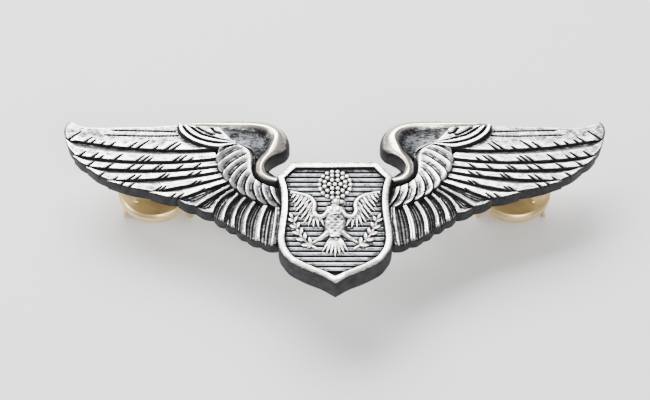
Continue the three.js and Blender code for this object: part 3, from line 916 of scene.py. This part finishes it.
class Finish:   # a material under construction
    def __init__(self, name):
        self.material = bpy.data.materials.new(name)
        self.material.use_nodes = True
        self.tree = self.material.node_tree
        self.shader = self.tree.nodes["Principled BSDF"]

    def node(self, kind, settings, values, output=0):
        made = self.tree.nodes.new("ShaderNode" + kind)
        for key, value in settings.items():
            setattr(made, key, value)
        for key, value in values.items():
            self.give(made.inputs[key], value)
        return Wire(self, made.outputs[output])

    def give(self, socket, value):
        if isinstance(value, Wire):
            self.tree.links.new(value.socket, socket)
        elif isinstance(value, tuple) and socket.type == "RGBA":
            socket.default_value = (*value, 1)
        else:
            socket.default_value = value

    def noise(self, scale, detail=2.0, rough=0.5, stretch=None):
        spot = self.node("TexCoord", {}, {}, "Object")
        if stretch:
            spot = self.node("Mapping", {}, {"Vector": spot, "Scale": stretch})
        values = {"Vector": spot, "Scale": scale, "Detail": detail, "Roughness": rough}
        return self.node("TexNoise", {}, values, "Fac")

    def over(self, value, low, high):   # a smooth change from 0 to 1 as the value rises
        return self.node("MapRange", {"interpolation_type": "SMOOTHSTEP"},
                         {"Value": value, "From Min": low, "From Max": high})

    def mix(self, factor, a, b):
        return self.node("Mix", {"data_type": "RGBA"}, {"Factor": factor, 6: a, 7: b}, 2)

    def bump(self, height, strength, distance, normal=None):
        values = {"Height": height, "Strength": strength, "Distance": distance}
        if normal:
            values["Normal"] = normal
        return self.node("Bump", {}, values)

    def ends(self, **values):
        for key, value in values.items():
            self.give(self.shader.inputs[key.replace("_", " ")], value)
        return self.material


silverLook = {
    "black": (0.006, 0.007, 0.009), "grey": (0.17, 0.172, 0.178), "satin": (0.30, 0.30, 0.298),
    # bright is the polished silver; warm and cream are painted highlights, brighter copies of it for the
    # device and the roll's crest
    "bright": (0.88, 0.865, 0.82), "warm": (1.0, 0.97, 0.90), "cream": (0.93, 0.86, 0.72),
    # the bars' colours: painted shade, darker and greyer than the rest of the silver
    "field": (0.46, 0.475, 0.50), "fieldPaintedShadeSatin": (0.27, 0.28, 0.30),
    # the hollow's colours: painted shade for the dip behind the shoulder
    "shade": (0.21, 0.218, 0.236), "shadeSatin": (0.10, 0.106, 0.12),
    # the two side colours are painted shade on the upright sides, darker and lighter, mixed by a rubbed-wear
    # noise
    "sideShadeDark": (0.008, 0.0085, 0.010), "edge": (0.036, 0.036, 0.038), "edgeRub": (0.2, 0.85),
    "sideShadeTurn": (0.3, 0.75),   # how far a face looks up or down for it to count as a top, not a side that gets painted shade
    "grain": (7000, 3, 0.65), "blotch": (1100, 4, 0.6),   # noises: scale, detail, roughness, stretch
    "streak": (1500, 3, 0.6, (1.0, 3.2, 1.0)), "scratch": (2500, 2, 0.5, (1.0, 0.12, 1.0)),
    "broadShare": 0.42, "blotchShare": 0.28, "grainShare": 0.28, "streakShare": 0.34,
    "low": -0.11, "cleanSpan": 0.15, "polishFrom": 0.11, "polishTo": 0.26,   # heights where silver shows
    "rough": 0.55, "cleanSmooth": 0.17, "polishSmooth": 0.1, "grainRough": 0.16,
    "grainBump": (0.3, 0.00004), "scratchBump": (0.22, 0.00003), "specular": 0.12,
}


def struckSilver(name, bright, low=silverLook["low"], satin=silverLook["satin"]):
    look = silverLook
    make = Finish(name)
    strike = make.node("Attribute", {"attribute_name": "strike"}, {}, "Color")
    parts = [make.node("SeparateColor", {}, {"Color": strike}, i) for i in range(3)]
    fine, broad, up = parts[0] - 0.5, (parts[1] - 0.5) * 2, parts[2]
    grain, blotch = make.noise(*look["grain"]), make.noise(*look["blotch"])
    streak, scratch = make.noise(*look["streak"]), make.noise(*look["scratch"])
    mottle = ((blotch - 0.5) * look["blotchShare"] + (grain - 0.5) * look["grainShare"]
              + (streak - 0.5) * look["streakShare"])
    standing = fine + broad * look["broadShare"] + mottle
    # 1 on tops and 0 on upright sides, which get painted shade
    unshadedTop = make.over(up, *look["sideShadeTurn"])
    clean = make.over(standing, low, low + look["cleanSpan"]) * unshadedTop
    polished = make.over(standing, low + look["polishFrom"], low + look["polishTo"]) * unshadedTop
    colour = make.mix(clean, look["black"], look["grey"])
    colour = make.mix(make.over(clean, 0.45, 1.0), colour, satin)
    colour = make.mix(polished, colour, bright)
    edge = make.mix(make.over(blotch, *look["edgeRub"]), look["sideShadeDark"], look["edge"])
    colour = make.mix(unshadedTop, edge, colour)   # painted shade: the upright sides are coloured dark, with rubbed wear a little lighter here and there
    rough = (look["rough"] - look["cleanSmooth"] * clean - look["polishSmooth"] * polished
             + (grain - 0.5) * look["grainRough"])
    bumped = make.bump(scratch, *look["scratchBump"], make.bump(grain, *look["grainBump"]))
    return make.ends(Base_Color=colour, Metallic=0.1 + 0.9 * clean, Roughness=rough, Normal=bumped,
                     Specular_IOR_Level=look["specular"])


silver = struckSilver("struckSilver", silverLook["bright"])
# the bars' finish: a darker, greyer copy of the struck silver, painted shade on the shield's field
fieldPaintedShade = struckSilver("fieldPaintedShade", silverLook["field"], -0.05, silverLook["fieldPaintedShadeSatin"])
# the device's finish: a brighter, warmer copy of the struck silver, a painted highlight
devicePaintedHighlight = struckSilver("devicePaintedHighlight", silverLook["warm"])
# the roll's finish: a creamier, less blackened copy of the struck silver, a painted highlight along the
# leading edge's crest
rollPaintedHighlight = struckSilver("rollPaintedHighlight", silverLook["cream"], -0.17)
# a darker copy of the struck silver: painted shade in the dip behind the shoulder
hollowPaintedShade = struckSilver("hollowPaintedShade", silverLook["shade"], -0.08, silverLook["shadeSatin"])
for piece, finish in ((wing, silver), (roll, rollPaintedHighlight), (hollow, hollowPaintedShade), (shield, silver),
                      (bars, fieldPaintedShade), (device, devicePaintedHighlight)):
    smoothShaded(piece, 35)
    piece.data.materials.append(finish)
leftWing = mirroredCopy(wing, "leftWing")
leftRoll = mirroredCopy(roll, "leftRoll")
leftHollow = mirroredCopy(hollow, "leftHollow")
for piece, node in ((wing, "right_wing"), (roll, "right_wing"), (leftWing, "left_wing"),
                    (leftRoll, "left_wing"), (hollow, "right_wing"), (leftHollow, "left_wing"),
                    (shield, "shield"), (bars, "shield"), (device, "shield")):
    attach(toMetres(piece), "badge")
    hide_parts(node)
print("wings and shield placed")


# The fastenings: the frame's own shapes with their cut edges broken

def brokenEdges(node, name, edge):
    piece = copyOf(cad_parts[node], name)
    editAll(piece)
    bpy.ops.mesh.remove_doubles(threshold=1e-6)
    bpy.ops.mesh.dissolve_limited(angle_limit=math.radians(1.5))
    bpy.ops.object.mode_set(mode="OBJECT")
    piece.data.materials.clear()
    return smoothShaded(softened(piece, edge / 1000, 2, 32), 38)


fasteningLook = {   # bright, dull and dark colours, roughness and the stretch of the brushing
    "brass": ((0.78, 0.59, 0.30), (0.66, 0.49, 0.24), (0.42, 0.30, 0.14), 0.3, (1.0, 0.1, 1.0)),
    "steel": ((0.72, 0.72, 0.71), (0.50, 0.50, 0.50), (0.25, 0.23, 0.21), 0.26, (1.0, 1.0, 0.15)),
    "pad": ((0.70, 0.685, 0.65), (0.42, 0.415, 0.40), (0.14, 0.14, 0.15), 0.36, (1.0, 0.4, 1.0)),
    "grain": (6000, 3, 0.6), "stain": (350, 3, 0.55), "brushed": (1800, 2, 0.5),
    "dullFrom": 0.36, "dullTo": 0.66, "darkFrom": 0.6, "darkTo": 0.78,
    "dullRough": 0.18, "grainRough": 0.12, "brushBump": (0.25, 0.00003), "grainBump": (0.2, 0.00003),
}


def wornMetal(name, bright, dull, dark, rough, brush):
    look = fasteningLook
    make = Finish(name)
    grain, stain = make.noise(*look["grain"]), make.noise(*look["stain"])
    brushed = make.noise(*look["brushed"], brush)
    worn = make.over(stain + (grain - 0.5) * 0.35, look["dullFrom"], look["dullTo"])
    colour = make.mix(worn, bright, dull)
    stained = make.over(stain * 0.6 + brushed * 0.4, look["darkFrom"], look["darkTo"])
    rough = rough + look["dullRough"] * worn + (grain - 0.5) * look["grainRough"]
    bumped = make.bump(brushed, *look["brushBump"], make.bump(grain, *look["grainBump"]))
    return make.ends(Base_Color=make.mix(stained, colour, dark), Metallic=1.0, Roughness=rough, Normal=bumped)


brass = wornMetal("clutchBrass", *fasteningLook["brass"])
steel = wornMetal("postSteel", *fasteningLook["steel"])
padSilver = wornMetal("padSilver", *fasteningLook["pad"])
for hand in ("left", "right"):
    for part, body, finish, slot, edge in (
            ("post_pad", "badge", padSilver, "struck_silver", 0.1),
            ("post", "badge", steel, "post_steel", 0.04),
            ("clutch_cup", f"{hand}_clutch", brass, "clutch_brass", 0.09),
            ("clutch_bow", f"{hand}_clutch", brass, "clutch_brass", 0.07),
            ("clutch_upper_jaw", f"{hand}_upper_jaw", brass, "clutch_brass", 0.07),
            ("clutch_lower_jaw", f"{hand}_lower_jaw", brass, "clutch_brass", 0.07)):
        node = f"{hand}_{part}"
        words = node.split("_")
        piece = brokenEdges(node, words[0] + "".join(word.capitalize() for word in words[1:]), edge)
        piece.data.materials.append(finish)
        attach(piece, body)
        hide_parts(node)
print("fastenings finished")


# Floor, light and camera

stageLook = {   # metres and watts
    "floor": -0.008, "floorSize": 3, "paint": (0.86, 0.86, 0.85), "paintDull": (0.84, 0.84, 0.83),
    "sky": (0.95, 0.97, 1.0), "skyStrength": 0.35,
    "softboxes": [("backSoftbox", (-0.10, 0.33, 0.40), 0.5, 0.3, 7.3),
                  ("sideSoftbox", (-0.5, -0.05, 0.3), 0.3, 0.3, 2.0),
                  ("frontSoftbox", (0.15, -0.35, 0.45), 0.35, 0.35, 2.6)],
    "camera": (-0.00136, -0.1058, 0.1656), "aim": (-0.00136, 0.0002, 0.00243), "lens": 79.53, "sensor": 36,
}
choose()
bpy.ops.mesh.primitive_plane_add(size=stageLook["floorSize"], location=(0, 0, stageLook["floor"]))
floor = named("floor")
paint = Finish("floorPaint")
mottled = paint.mix(paint.noise(6, 2), stageLook["paint"], stageLook["paintDull"])
floor.data.materials.append(paint.ends(Base_Color=mottled, Roughness=0.9))

world = bpy.data.worlds.new("studio")
world.use_nodes = True
world.node_tree.nodes["Background"].inputs["Color"].default_value = (*stageLook["sky"], 1)
world.node_tree.nodes["Background"].inputs["Strength"].default_value = stageLook["skyStrength"]
bpy.context.scene.world = world

for name, place, width, height, watts in stageLook["softboxes"]:   # each looks at the frame's origin
    choose()
    bpy.ops.object.light_add(type="AREA", location=place)
    light = bpy.context.object
    light.name = name
    light.data.shape = "RECTANGLE"
    light.data.size, light.data.size_y = width, height
    light.data.energy = watts
    light.rotation_euler = (-Vector(place)).to_track_quat("-Z", "Y").to_euler()

choose()
bpy.ops.object.camera_add(location=stageLook["camera"])
camera = bpy.context.object
camera.name = "camera"
aim = Vector(stageLook["aim"]) - camera.location
camera.rotation_euler = aim.to_track_quat("-Z", "Y").to_euler()
camera.data.lens = stageLook["lens"]
camera.data.sensor_width = stageLook["sensor"]
camera.data.clip_start = 0.01
bpy.context.scene.camera = camera
